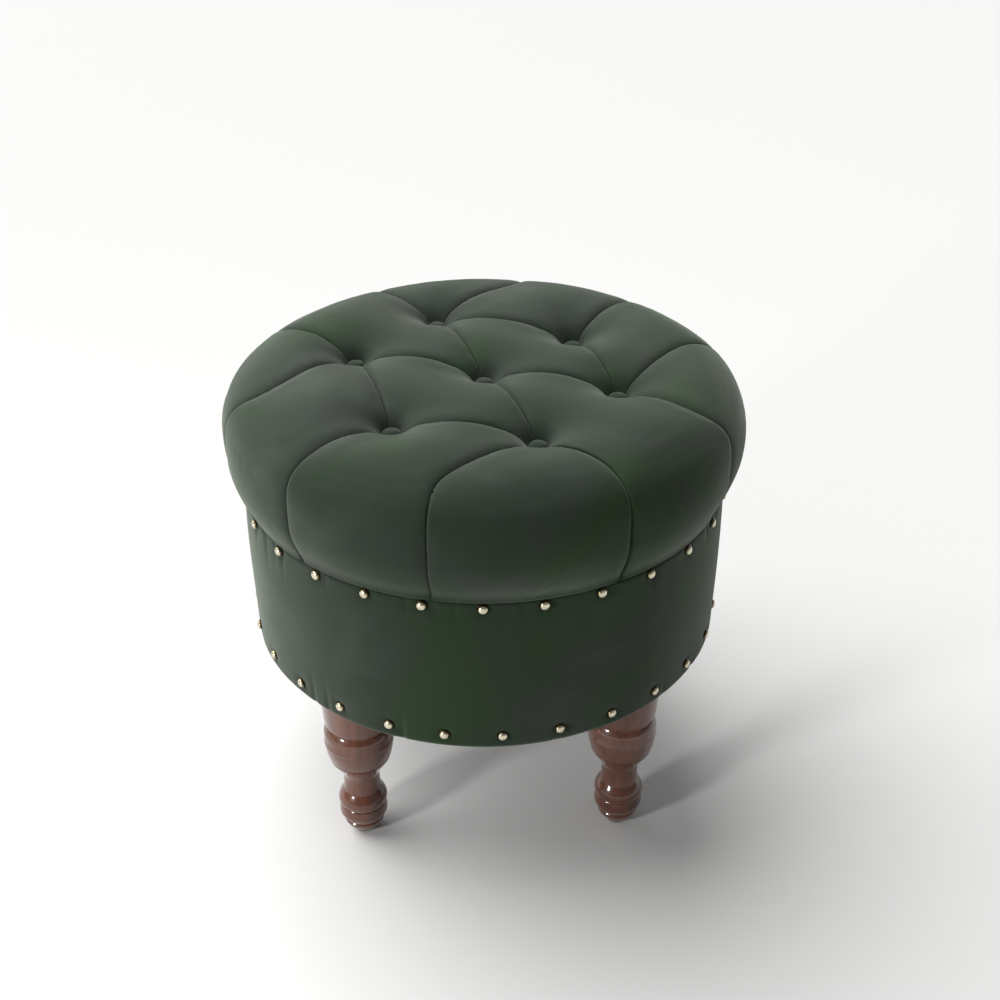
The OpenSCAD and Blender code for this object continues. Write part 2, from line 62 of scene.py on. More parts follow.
# ---- Turned legs ----
# Four legs turned on a lathe from a dark mahogany-toned hardwood: a tapered collar, a big bead,
# a vase that narrows to a neck, a lower bulb, a ring and a ball foot. Each is sealed, stained
# and sprayed with clear gloss lacquer, and screws up into the drum with a hanger bolt.
def linear(hex_colour):
    """An sRGB hex colour as the linear RGBA that shaders take."""
    parts = [int(hex_colour[i:i + 2], 16) / 255 for i in (1, 3, 5)]
    return tuple(c / 12.92 if c <= 0.04045 else ((c + 0.055) / 1.055) ** 2.4 for c in parts) + (1.0,)


def add(tree, kind, settings, inputs):
    """Adds a node, sets its settings, and sets or links its inputs."""
    made = tree.nodes.new(kind)
    for name, value in settings.items():
        setattr(made, name, value)
    for name, value in inputs.items():
        if isinstance(value, bpy.types.NodeSocket):
            tree.links.new(value, made.inputs[name])
        else:
            made.inputs[name].default_value = value
    return made


def new_material(name):
    """An empty node material and its Principled shader."""
    made = bpy.data.materials.new(name)
    made.use_nodes = True
    return made, made.node_tree, made.node_tree.nodes["Principled BSDF"]


def set_ramp(ramp_node, stops):
    """Gives a colour ramp its stops, as (place, hex colour)."""
    ramp = ramp_node.color_ramp
    while len(ramp.elements) > 1:
        ramp.elements.remove(ramp.elements[-1])
    ramp.elements[0].position = stops[0][0]
    ramp.elements[0].color = linear(stops[0][1])
    for place, colour in stops[1:]:
        ramp.elements.new(place).color = linear(colour)


# Lacquered mahogany: red-brown stain with darker pores drawn out along the grain, under a
# clear lacquer that gives small sharp highlights on every bead.
mahogany, tree, shader = new_material("lacquered_mahogany")
place = add(tree, "ShaderNodeTexCoord", {}, {})
along_grain = add(tree, "ShaderNodeMapping", {}, {"Vector": place.outputs["Object"], "Scale": (1, 1, 0.12)})
grain = add(tree, "ShaderNodeTexNoise", {}, {
    "Vector": along_grain.outputs["Vector"], "Scale": 170.0, "Detail": 6.0, "Roughness": 0.6,
    "Distortion": 0.4})
figure = add(tree, "ShaderNodeTexNoise", {}, {
    "Vector": along_grain.outputs["Vector"], "Scale": 28.0, "Detail": 3.0})
grain_mix = add(tree, "ShaderNodeMath", {"operation": "MULTIPLY_ADD"}, {
    0: grain.outputs["Fac"], 1: 0.5, 2: 0.0})
both = add(tree, "ShaderNodeMath", {"operation": "MULTIPLY_ADD"}, {
    0: figure.outputs["Fac"], 1: 0.5, 2: grain_mix.outputs["Value"]})
stain = add(tree, "ShaderNodeValToRGB", {}, {"Fac": both.outputs["Value"]})
set_ramp(stain, [(0.30, "#3c1c10"), (0.48, "#57301f"), (0.62, "#673c28"), (0.80, "#774a34")])
tree.links.new(stain.outputs["Color"], shader.inputs["Base Color"])
pores = add(tree, "ShaderNodeBump", {}, {
    "Height": grain.outputs["Fac"], "Strength": 0.08, "Distance": 0.0004})
tree.links.new(pores.outputs["Normal"], shader.inputs["Normal"])
shader.inputs["Roughness"].default_value = 0.34
shader.inputs["IOR"].default_value = 1.5
shader.inputs["Specular IOR Level"].default_value = 0.2
shader.inputs["Coat Weight"].default_value = 1.0
shader.inputs["Coat Roughness"].default_value = 0.07


def mesh_object(name, points, faces, material, smooth=True):
    """A mesh piece from its points and faces."""
    mesh = bpy.data.meshes.new(name)
    mesh.from_pydata([tuple(p) for p in points], [], [tuple(int(i) for i in f) for f in faces])
    mesh.update()
    if smooth:
        mesh.polygons.foreach_set("use_smooth", [True] * len(mesh.polygons))
    mesh.materials.append(material)
    made = bpy.data.objects.new(name, mesh)
    bpy.context.collection.objects.link(made)
    return made


def turned(outline, centre, sides):
    """Points and faces of a closed solid of revolution about a vertical axis through centre.
    The outline runs from the axis at the bottom to the axis at the top, as (radius, height)."""
    ends = [outline[0], outline[-1]]
    rings = outline[1:-1]
    angles = np.arange(sides) * 2 * math.pi / sides
    points = [(centre[0] + r * math.cos(a), centre[1] + r * math.sin(a), z)
              for r, z in rings for a in angles]
    points += [(centre[0], centre[1], z) for _, z in ends]
    bottom, top = len(points) - 2, len(points) - 1
    last = (len(rings) - 1) * sides
    faces = []
    for k in range(sides):
        n = (k + 1) % sides
        faces += [(i * sides + k, i * sides + n, (i + 1) * sides + n, (i + 1) * sides + k)
                  for i in range(len(rings) - 1)]
        faces += [(bottom, n, k), (top, last + k, last + n)]
    return points, faces


leg_z0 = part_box("leg_front_left")[0].z
leg_z1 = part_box("leg_front_left")[1].z
# Crests, hollows and quirks of the turning from the foot up, in mm: height above the floor,
# radius, and how the cut runs on from there. "fast" moves out or in at once and then levels,
# "slow" does so late, and "line" is straight.
leg_cuts = [
    (3, 13.0, "fast"), (17, 20.6, "line"), (18.2, 19.7, "line"), (19.2, 20.8, "fast"),
    (27, 24.2, "slow"), (35.6, 23.0, "line"), (36.6, 22.0, "line"), (37.6, 23.2, "fast"),
    (42, 24.4, "slow"), (55, 18.6, "line"), (55.8, 18.2, "line"), (74, 18.0, "slow"),
    (84, 22.3, "line"), (97.6, 30.2, "line"), (98.3, 29.5, "line"), (99.3, 30.9, "fast"),
    (119.4, 34.0, "line"), (120.3, 34.4, "line"), (121.2, 34.0, "line"), (131, 34.0, "slow"),
    (139, 31.0, "line"), (140, 30.2, "line"), (141, 30.2, "line"), (142, 31.4, "fast"),
    (147, 33.0, "line"), (190, 36.0, "line"),
]


def leg_outline():
    """The leg's outline in metres, with its curves in small steps."""
    outline = [(0.0, leg_z0)]
    for (z0, r0, cut), (z1, r1, _) in zip(leg_cuts[:-1], leg_cuts[1:]):
        steps = 1 if cut == "line" else max(4, int((z1 - z0) / 0.8))
        for i in range(steps):
            t = i / steps
            share = {"line": t, "fast": math.sin(math.pi / 2 * t),
                     "slow": 1 - math.cos(math.pi / 2 * t)}[cut]
            outline.append(((r0 + (r1 - r0) * share) / 1000, (z0 + (z1 - z0) * t) / 1000))
    return outline + [(leg_cuts[-1][1] / 1000, leg_z1), (0.0, leg_z1)]


for corner in ("front_left", "front_right", "back_right", "back_left"):
    low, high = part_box("leg_" + corner)
    points, faces = turned(leg_outline(), (low + high) / 2, 96)
    leg = mesh_object("turned_leg_" + corner, points, faces, mahogany)
    # The lathe's square-cut quirks stay crisp between the smooth curves
    crisp = leg.modifiers.new("quirks", "EDGE_SPLIT")
    crisp.split_angle = math.radians(38)
    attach(leg, "base")
    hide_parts("leg_" + corner)


# ---- Felt glides, hanger bolts and tee nuts ----
# A disc of pressed wool felt is glued under each ball foot. The bolts and nuts are mild steel
# with a bright zinc plate; they meet inside the floor board.
felt, tree, shader = new_material("pressed_wool_felt")
place = add(tree, "ShaderNodeTexCoord", {}, {})
fibres = add(tree, "ShaderNodeTexNoise", {}, {
    "Vector": place.outputs["Object"], "Scale": 900.0, "Detail": 5.0, "Roughness": 0.7})
felt_colour = add(tree, "ShaderNodeValToRGB", {}, {"Fac": fibres.outputs["Fac"]})
set_ramp(felt_colour, [(0.3, "#2b2723"), (0.7, "#5a524a")])
tree.links.new(felt_colour.outputs["Color"], shader.inputs["Base Color"])
fuzz = add(tree, "ShaderNodeBump", {}, {
    "Height": fibres.outputs["Fac"], "Strength": 0.6, "Distance": 0.0004})
tree.links.new(fuzz.outputs["Normal"], shader.inputs["Normal"])
shader.inputs["Roughness"].default_value = 0.95
shader.inputs["Sheen Weight"].default_value = 0.3

# Zinc-plated steel: pale blue-grey with faint mottling from the plating bath.
zinc, tree, shader = new_material("zinc_plated_steel")
place = add(tree, "ShaderNodeTexCoord", {}, {})
bath = add(tree, "ShaderNodeTexNoise", {}, {
    "Vector": place.outputs["Object"], "Scale": 260.0, "Detail": 4.0, "Roughness": 0.6})
zinc_colour = add(tree, "ShaderNodeValToRGB", {}, {"Fac": bath.outputs["Fac"]})
set_ramp(zinc_colour, [(0.35, "#a7abaf"), (0.65, "#c3c6c8")])
tree.links.new(zinc_colour.outputs["Color"], shader.inputs["Base Color"])
zinc_rough = add(tree, "ShaderNodeMapRange", {}, {
    "Value": bath.outputs["Fac"], "From Min": 0.3, "From Max": 0.7, "To Min": 0.26, "To Max": 0.42})
tree.links.new(zinc_rough.outputs["Result"], shader.inputs["Roughness"])
shader.inputs["Metallic"].default_value = 1.0


def finish_cad(material, *nodes):
    """Gives CAD nodes their material."""
    for name in nodes:
        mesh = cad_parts[name].data
        mesh.materials.clear()
        mesh.materials.append(material)


finish_cad(felt, "foot_glides")
finish_cad(zinc, "leg_bolts", "tee_nuts")


# ---- Plywood drum ----
# The floor board, the bent shell and the ring round the mouth are poplar plywood, cut and
# sanded but left bare, because velvet and lining hide nearly all of it.
plywood, tree, shader = new_material("bare_poplar_plywood")
place = add(tree, "ShaderNodeTexCoord", {}, {})
stretched = add(tree, "ShaderNodeMapping", {}, {"Vector": place.outputs["Object"], "Scale": (1, 0.08, 1)})
ply_grain = add(tree, "ShaderNodeTexNoise", {}, {
    "Vector": stretched.outputs["Vector"], "Scale": 140.0, "Detail": 5.0, "Roughness": 0.55})
ply_colour = add(tree, "ShaderNodeValToRGB", {}, {"Fac": ply_grain.outputs["Fac"]})
set_ramp(ply_colour, [(0.3, "#b58a5c"), (0.7, "#d8b88a")])
# The plies are 1.5 mm thick and show as bands on a cut edge
plies = add(tree, "ShaderNodeTexWave", {"bands_direction": "Z"}, {
    "Vector": place.outputs["Object"], "Scale": 106.0, "Distortion": 0.4})
bands = add(tree, "ShaderNodeValToRGB", {}, {"Fac": plies.outputs["Fac"]})
set_ramp(bands, [(0.4, "#ffffff"), (0.6, "#d9c3a6")])
ply_mix = add(tree, "ShaderNodeMix", {"data_type": "RGBA", "blend_type": "MULTIPLY"}, {
    0: 0.6, 6: ply_colour.outputs["Color"], 7: bands.outputs["Color"]})
tree.links.new(ply_mix.outputs[2], shader.inputs["Base Color"])
ply_bump = add(tree, "ShaderNodeBump", {}, {
    "Height": ply_grain.outputs["Fac"], "Strength": 0.2, "Distance": 0.0003})
tree.links.new(ply_bump.outputs["Normal"], shader.inputs["Normal"])
shader.inputs["Roughness"].default_value = 0.7
finish_cad(plywood, "floor_board", "drum_shell", "top_ring", "lid_board")


# ---- Wadding on the drum ----
# A single layer of white polyester wadding, glued round the shell to soften it.
wadding, tree, shader = new_material("polyester_wadding")
place = add(tree, "ShaderNodeTexCoord", {}, {})
loft = add(tree, "ShaderNodeTexNoise", {}, {
    "Vector": place.outputs["Object"], "Scale": 300.0, "Detail": 8.0, "Roughness": 0.75})
wadding_colour = add(tree, "ShaderNodeValToRGB", {}, {"Fac": loft.outputs["Fac"]})
set_ramp(wadding_colour, [(0.3, "#d9d9d4"), (0.7, "#f4f4f0")])
tree.links.new(wadding_colour.outputs["Color"], shader.inputs["Base Color"])
loft_bump = add(tree, "ShaderNodeBump", {}, {
    "Height": loft.outputs["Fac"], "Strength": 0.8, "Distance": 0.001})
tree.links.new(loft_bump.outputs["Normal"], shader.inputs["Normal"])
shader.inputs["Roughness"].default_value = 0.95


def ring_grid(radii, heights, angles):
    """Points of a surface of rings, one row per ring, and its quad faces, closed round the axis.
    radii and heights are arrays of rows by angles."""
    rows, sides = radii.shape
    points = np.stack([radii * np.cos(angles), radii * np.sin(angles), heights], axis=-1).reshape(-1, 3)
    row, k = np.meshgrid(np.arange(rows - 1), np.arange(sides), indexing="ij")
    n = (k + 1) % sides
    near, far = row * sides, (row + 1) * sides
    faces = np.stack([near + k, near + n, far + n, far + k], axis=-1)
    return points, faces.reshape(-1, 4)


def band(name, outline, sides, material, wave=0.0, seed=0):
    """A closed band round the axis. The outline is a closed loop of (radius, height), run
    anticlockwise with the radius to the right, and wave roughens the radius a little."""
    angles = np.arange(sides) * 2 * math.pi / sides
    random = np.random.default_rng(seed)
    phases = random.uniform(0, 2 * math.pi, 6)
    ripple = sum(np.sin((k * 3 + 5) * angles + phases[k]) / (k + 1) for k in range(6)) * wave / 2
    loop = outline + [outline[0]]
    radii = np.array([[p[0]] * sides for p in loop]) + ripple
    heights = np.array([[p[1]] * sides for p in loop])
    points, faces = ring_grid(radii, heights, angles)
    keep = len(outline) * sides
    faces = np.where(faces >= keep, faces - keep, faces)
    return mesh_object(name, points[:keep], faces, material)


low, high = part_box("wall_wadding")
shell_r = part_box("drum_shell")[1].x
drum_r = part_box("drum_cover")[1].x
velvet_room = 0.0030
wad_out = drum_r - velvet_room
wadding_loop = [(shell_r + 0.0001, low.z + 0.001)]
wadding_loop += [(wad_out - 0.002 * (1 - math.sin(t)), low.z + 0.001 + 0.004 * (1 - math.cos(t)))
                 for t in np.linspace(0, math.pi / 2, 5)]
wadding_loop += [(wad_out - 0.002 * (1 - math.cos(t)), high.z - 0.0035 + 0.002 * math.sin(t))
                 for t in np.linspace(0, math.pi / 2, 5)]
wadding_loop += [(shell_r + 0.0001, high.z - 0.0015)]
drum_wadding = band("drum_wadding", wadding_loop, 180, wadding, wave=0.0003, seed=3)
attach(drum_wadding, "base")
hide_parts("wall_wadding")


# ---- Velvet on the drum ----
# One length of dark green polyester velvet, pulled round the wadding, turned under the floor
# board and over the ring, and tacked down. Its pile throws a soft grey sheen where it is seen
# edge on, and shows greener or greyer patches where it has been brushed the other way.
velvet, tree, shader = new_material("woven_polyester_velvet")
place = add(tree, "ShaderNodeTexCoord", {}, {})
# Patches of brushed pile, some 60 to 150 mm across
brushed = add(tree, "ShaderNodeTexNoise", {}, {
    "Vector": place.outputs["Object"], "Scale": 9.0, "Detail": 2.5, "Roughness": 0.55, "Distortion": 0.6})
patches = add(tree, "ShaderNodeValToRGB", {}, {"Fac": brushed.outputs["Fac"]})
set_ramp(patches, [(0.36, "#162d11"), (0.45, "#1b2a19"), (0.56, "#202a20"), (0.72, "#2b352b")])
# Pile: tufts of about 0.4 mm, drawn here at 1.2 mm so that they still show
pile = add(tree, "ShaderNodeTexNoise", {}, {
    "Vector": place.outputs["Object"], "Scale": 800.0, "Detail": 3.0, "Roughness": 0.6})
pile_shade = add(tree, "ShaderNodeValToRGB", {}, {"Fac": pile.outputs["Fac"]})
set_ramp(pile_shade, [(0.3, "#c8c8c8"), (0.7, "#ffffff")])
velvet_mix = add(tree, "ShaderNodeMix", {"data_type": "RGBA", "blend_type": "MULTIPLY"}, {
    0: 0.6, 6: patches.outputs["Color"], 7: pile_shade.outputs["Color"]})
tree.links.new(velvet_mix.outputs[2], shader.inputs["Base Color"])
pile_bump = add(tree, "ShaderNodeBump", {}, {
    "Height": pile.outputs["Fac"], "Strength": 0.25, "Distance": 0.0004})
tree.links.new(pile_bump.outputs["Normal"], shader.inputs["Normal"])
shader.inputs["Roughness"].default_value = 0.85
shader.inputs["IOR"].default_value = 1.5
shader.inputs["Specular IOR Level"].default_value = 0.2
shader.inputs["Sheen Weight"].default_value = 0.5
shader.inputs["Sheen Roughness"].default_value = 0.45
shader.inputs["Sheen Tint"].default_value = linear("#b4bdb0")

drum_low, drum_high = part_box("drum_cover")
lower_nail_z = sum(c.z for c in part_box("lower_nails")) / 2
upper_nail_z = sum(c.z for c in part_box("upper_nails")) / 2
nails_in_a_row = 28
upper_turn = math.radians(-2.5)
lower_turn = math.radians(1.6)


# The furthest in that puckers and nails together may draw the cloth
deepest = 0.0022


def bump_at(distance, width):
    """A soft round bump: 1 at distance 0, gone past two widths."""
    return np.exp(-(distance / width) ** 2)


def velvet_drum_outline(rows):
    """The velvet's outside, from under the floor board up the wall and down inside the ring, and
    its inside back again, as (radius, height)."""
    ring_width, cloth_on_ring, turned_under = 0.024, 0.0013, 0.033
    mouth_r = -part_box("top_ring")[0].x - ring_width - cloth_on_ring
    flange_in = drum_r - turned_under
    inside_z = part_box("top_ring")[0].z
    bottom_round = 0.006
    top_round = 0.003
    path = [(flange_in, drum_low.z), (drum_r - 0.02, drum_low.z)]
    path += [(drum_r - bottom_round * (1 - math.sin(t)), drum_low.z + bottom_round * (1 - math.cos(t)))
             for t in np.linspace(0, math.pi / 2, 7)]
    wall_low, wall_high = drum_low.z + bottom_round, drum_high.z - top_round
    path += [(drum_r, wall_low + (wall_high - wall_low) * i / rows) for i in range(1, rows)]
    path += [(drum_r - top_round * (1 - math.cos(t)), wall_high + top_round * math.sin(t))
             for t in np.linspace(0, math.pi / 2, 6)]
    path += [(mouth_r + 0.02, drum_high.z), (mouth_r + 0.003, drum_high.z)]
    path += [(mouth_r + 0.003 * (1 - math.sin(t)), drum_high.z - 0.003 * (1 - math.cos(t)))
             for t in np.linspace(0.3, math.pi / 2, 4)]
    path += [(mouth_r, inside_z)]
    thick = 0.0009
    # The inside of the wall stays behind the deepest pucker
    wall_back = drum_r - deepest - 0.0004
    inner = [(mouth_r + thick, inside_z), (mouth_r + thick, drum_high.z - 0.004),
             (mouth_r + 0.005, drum_high.z - thick), (drum_r - 0.004, drum_high.z - thick),
             (wall_back, wall_high - 0.002), (wall_back, wall_low + 0.002),
             (drum_r - 0.006, drum_low.z + thick), (flange_in, drum_low.z + thick)]
    return path, inner


def pull_at_nails(angle, z, row_z, turn, reach):
    """How deep the nails of a row pull the cloth in, at each place on the wall."""
    step = 2 * math.pi / nails_in_a_row
    off = (angle - turn + step / 2) % step - step / 2
    across = off * drum_r
    return bump_at(np.hypot(across, z - row_z), reach)


# 40 columns to each nail's share of the wall, and rows about 2.6 mm apart
drum_sides = 40 * nails_in_a_row
wall_rows = 58
path, inner = velvet_drum_outline(wall_rows)
angles = np.arange(drum_sides) * 2 * math.pi / drum_sides
loop = np.array(path + inner + [path[0]])
angle_grid, z_grid = np.meshgrid(angles, loop[:, 1])
radius_grid = np.repeat(loop[:, :1], drum_sides, axis=1)
on_wall = np.zeros(len(loop))
on_wall[:len(path)] = np.clip((loop[:len(path), 0] - drum_r + 0.0045) / 0.004, 0, 1)
nail_reach = 0.0075
nail_pull = 0.0016
pull = pull_at_nails(angle_grid, z_grid, upper_nail_z, upper_turn, nail_reach)
pull += pull_at_nails(angle_grid, z_grid, lower_nail_z, lower_turn, nail_reach)
# Between the nails the cloth puckers into short upright creases that die out towards the middle
random = np.random.default_rng(11)
pucker = np.zeros_like(radius_grid)
pucker_count = 70
for k in range(pucker_count):
    centre_angle = random.uniform(0, 2 * math.pi)
    from_top = random.random() < 0.65
    length = random.uniform(0.018, 0.05)
    width = random.uniform(0.0022, 0.005)
    depth = random.uniform(0.0004, 0.0013)
    off = (angle_grid - centre_angle + math.pi) % (2 * math.pi) - math.pi
    start = drum_high.z - 0.004 if from_top else drum_low.z + 0.006
    down = np.abs(z_grid - start) / length
    pucker += depth * np.exp(-(off * drum_r / width) ** 2) * np.clip(1 - down, 0, 1) ** 1.5
middle = (drum_low.z + drum_high.z) / 2
swell = 0.0012 * np.cos((z_grid - middle) / (drum_high.z - drum_low.z) * math.pi)
slow = 0.0004 * np.sin(5 * angle_grid + 1.0) * np.sin((z_grid - drum_low.z) * 40)
slow = slow + 0.0003 * np.sin(11 * angle_grid)
shape = np.maximum(swell + slow - nail_pull * pull - pucker, -deepest)
radius_grid = radius_grid + shape * on_wall[:, None]
points, faces = ring_grid(radius_grid, z_grid, angles)
keep = (len(loop) - 1) * drum_sides
faces = np.where(faces >= keep, faces - keep, faces)
# The cloth lies flat under the hinge leaves
leaf_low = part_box("hinge_drum_leaves")[0]
points = points[:keep]
leaf_mid_x = 0.048
leaf_half = 0.0195
under_leaf = (points[:, 1] > leaf_low.y - 0.001) & (np.abs(np.abs(points[:, 0]) - leaf_mid_x) < leaf_half)
leaf_t = 0.0015
under_leaf_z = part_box("hinge_drum_screws")[1].z - leaf_t
points[under_leaf, 2] = np.minimum(points[under_leaf, 2], under_leaf_z - 0.0001)
drum_velvet = mesh_object("drum_velvet", points, faces, velvet)
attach(drum_velvet, "base")
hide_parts("drum_cover")


# ---- Nail trim ----
# Domed upholstery nails, pressed from brass and finished in pale antique nickel. A ring of
# darker colour, part patina and part painted shade, is painted where the dome turns under to meet the cloth.
nail_metal, tree, shader = new_material("antique_nickel_on_brass")
place = add(tree, "ShaderNodeTexCoord", {}, {})
tarnish = add(tree, "ShaderNodeTexNoise", {}, {
    "Vector": place.outputs["Object"], "Scale": 420.0, "Detail": 4.0, "Roughness": 0.6})
nail_colour = add(tree, "ShaderNodeValToRGB", {}, {"Fac": tarnish.outputs["Fac"]})
set_ramp(nail_colour, [(0.3, "#b3ab92"), (0.55, "#d3ccb4"), (0.75, "#e6e1d0")])
# Painted shade with some patina: the flange and the foot of the dome are painted dark, paler up the dome
patina_and_shade = add(tree, "ShaderNodeAttribute", {"attribute_name": "dome_shade_share"}, {})
patina_and_shade_ramp = add(tree, "ShaderNodeValToRGB", {}, {"Fac": patina_and_shade.outputs["Fac"]})
set_ramp(patina_and_shade_ramp, [(0.12, "#2c2418"), (0.45, "#a89f84"), (0.7, "#ffffff")])
nail_mix = add(tree, "ShaderNodeMix", {"data_type": "RGBA", "blend_type": "MULTIPLY"}, {
    0: 1.0, 6: nail_colour.outputs["Color"], 7: patina_and_shade_ramp.outputs["Color"]})
tree.links.new(nail_mix.outputs[2], shader.inputs["Base Color"])
nail_rough = add(tree, "ShaderNodeMapRange", {}, {
    "Value": tarnish.outputs["Fac"], "From Min": 0.3, "From Max": 0.7, "To Min": 0.34, "To Max": 0.2})
tree.links.new(nail_rough.outputs["Result"], shader.inputs["Roughness"])
shader.inputs["Metallic"].default_value = 1.0

nail_r = 0.00525
dome_r = 0.0043
dome_h = 0.0031
leaf_inner_x = 0.030
hinge_x = (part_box("hinge_drum_leaves")[1].x + leaf_inner_x) / 2
hinge_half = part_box("hinge_drum_leaves")[1].x - hinge_x


def nail_points(sides=28, steps=9):
    """One nail's head in its own place: its back on the XY plane and its dome up Z, with a thin
    flange pressed round the dome."""
    outline = [(0.0, -0.0004), (nail_r * 0.96, -0.0004), (nail_r, -0.0001), (nail_r * 0.985, 0.0003)]
    outline += [(dome_r * 1.06, 0.0004)]
    outline += [(dome_r * math.cos(t) ** 0.85, 0.0005 + (dome_h - 0.0005) * math.sin(t))
                for t in np.linspace(0, math.pi / 2, steps)[:-1]]
    outline += [(0.0, dome_h)]
    return turned(outline, (0, 0), sides)


def nail_row(name, row_z, turn, clear_of_hinges, node):
    """One row of nails round the drum, left out where the hinge leaves cross."""
    head, head_faces = nail_points()
    head = np.array(head)
    random = np.random.default_rng(len(name))
    points, faces = [], []
    for k in range(nails_in_a_row):
        a = turn + 2 * math.pi * k / nails_in_a_row
        x = drum_r * math.cos(a)
        crossed = math.sin(a) > 0 and abs(abs(x) - hinge_x) < hinge_half + nail_r + 0.0005
        if clear_of_hinges and crossed:
            continue
        # Hammered by hand: each head sits a little differently
        lean_u, lean_v = random.normal(0, 0.05, 2)
        up = np.array([math.cos(a), math.sin(a), 0.0])
        side = np.array([-math.sin(a), math.cos(a), 0.0])
        out = up + side * lean_u + np.array([0, 0, lean_v])
        out /= np.linalg.norm(out)
        side = np.cross([0, 0, 1], out)
        side /= np.linalg.norm(side)
        upright = np.cross(out, side)
        centre = up * (drum_r + 0.0002) + np.array([0, 0, row_z])
        start = len(points)
        points += list(centre + head[:, :1] * side + head[:, 1:2] * upright + head[:, 2:] * out)
        faces += [tuple(i + start for i in f) for f in head_faces]
    made = mesh_object(name, points, faces, nail_metal)
    # The dome's height share, which the material turns into painted shade and patina at its foot
    dome_shade_share = made.data.attributes.new("dome_shade_share", "FLOAT", "POINT")
    share = np.clip(head[:, 2] / dome_h, 0, 1)
    dome_shade_share.data.foreach_set("value", np.tile(share, len(points) // len(head)))
    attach(made, "base")
    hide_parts(node)


nail_row("upper_nail_heads", upper_nail_z, upper_turn, True, "upper_nails")
nail_row("lower_nail_heads", lower_nail_z, lower_turn, False, "lower_nails")


# ---- Liner cloth inside the drum ----
# A card panel wrapped in plain black cloth lines the wall, and a padded panel covers the floor.
liner_cloth, tree, shader = new_material("woven_liner_cloth")
place = add(tree, "ShaderNodeTexCoord", {}, {})
# Threads 1 mm apart, drawn as two crossed waves
warp = add(tree, "ShaderNodeTexWave", {"bands_direction": "X"}, {
    "Vector": place.outputs["Object"], "Scale": 160.0, "Distortion": 0.6})
weft = add(tree, "ShaderNodeTexWave", {"bands_direction": "Z"}, {
    "Vector": place.outputs["Object"], "Scale": 160.0, "Distortion": 0.6})
weft_y = add(tree, "ShaderNodeTexWave", {"bands_direction": "Y"}, {
    "Vector": place.outputs["Object"], "Scale": 160.0, "Distortion": 0.6})
crossings = add(tree, "ShaderNodeMath", {"operation": "MULTIPLY"}, {
    0: warp.outputs["Fac"], 1: weft_y.outputs["Fac"]})
threads = add(tree, "ShaderNodeMath", {"operation": "ADD"}, {
    0: crossings.outputs["Value"], 1: weft.outputs["Fac"]})
liner_colour = add(tree, "ShaderNodeValToRGB", {}, {"Fac": threads.outputs["Value"]})
set_ramp(liner_colour, [(0.2, "#1f211f"), (0.9, "#3a3c38")])
tree.links.new(liner_colour.outputs["Color"], shader.inputs["Base Color"])
weave_bump = add(tree, "ShaderNodeBump", {}, {
    "Height": threads.outputs["Value"], "Strength": 0.4, "Distance": 0.0003})
tree.links.new(weave_bump.outputs["Normal"], shader.inputs["Normal"])
shader.inputs["Roughness"].default_value = 0.9
shader.inputs["Sheen Weight"].default_value = 0.15

low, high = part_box("inner_lining")
liner_out = high.x
liner_in = liner_out - 0.0016
liner_loop = [(liner_out, low.z + 0.0002), (liner_out, high.z - 0.0002)]
liner_loop += [(liner_in + 0.0005, high.z - 0.0003), (liner_in, high.z - 0.001)]
liner_loop += [(liner_in, high.z + (low.z - high.z) * i / 12) for i in range(1, 12)]
liner_loop += [(liner_in + 0.0002, low.z + 0.0002)]
wall_liner = band("wall_liner", liner_loop[::-1], 240, liner_cloth, wave=0.0001, seed=5)
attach(wall_liner, "base")
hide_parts("inner_lining")


def padded_disc(name, r, z0, z1, material, edge, rings=40, sides=180, dimple=0.0, seed=1):
    """A flat-backed disc with a soft rounded edge and faint hollows, its back at z0 and its face
    at z1."""
    thick = z1 - z0
    random = np.random.default_rng(seed)
    outline_r = [r * i / rings for i in range(1, rings)] + [r]
    rows_r, rows_z = [], []
    for q in outline_r:
        rise = 1 - max(0.0, (q - (r - edge)) / edge) ** 2.5
        rows_r.append(q)
        rows_z.append(z0 + thick * (0.25 + 0.75 * rise))
    radii = np.array([[q] * sides for q in rows_r] + [[r] * sides])
    heights = np.array([[h] * sides for h in rows_z] + [[z0] * sides])
    angles = np.arange(sides) * 2 * math.pi / sides
    wave = sum(np.sin(k * angles[None, :] + random.uniform(0, 6)) * np.sin(radii * random.uniform(20, 60))
               for k in (2, 3, 5))
    heights[:-1] -= np.sign(thick) * dimple * (0.5 + wave[:-1] / 6)
    points, faces = ring_grid(radii, heights, angles)
    points = list(points) + [(0, 0, z1 - np.sign(thick) * dimple * 0.5), (0, 0, z0)]
    face_mid, back_mid = len(points) - 2, len(points) - 1
    last = rings * sides
    faces = [tuple(f) for f in faces]
    for k in range(sides):
        n = (k + 1) % sides
        faces += [(face_mid, n, k), (back_mid, last + k, last + n)]
    if thick > 0:
        faces = [f[::-1] for f in faces]
    return mesh_object(name, points, faces, material)


low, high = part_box("floor_pad")
floor_panel = padded_disc("floor_panel", high.x, low.z, high.z, liner_cloth, 0.006, dimple=0.0004, seed=8)
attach(floor_panel, "base")
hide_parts("floor_pad")


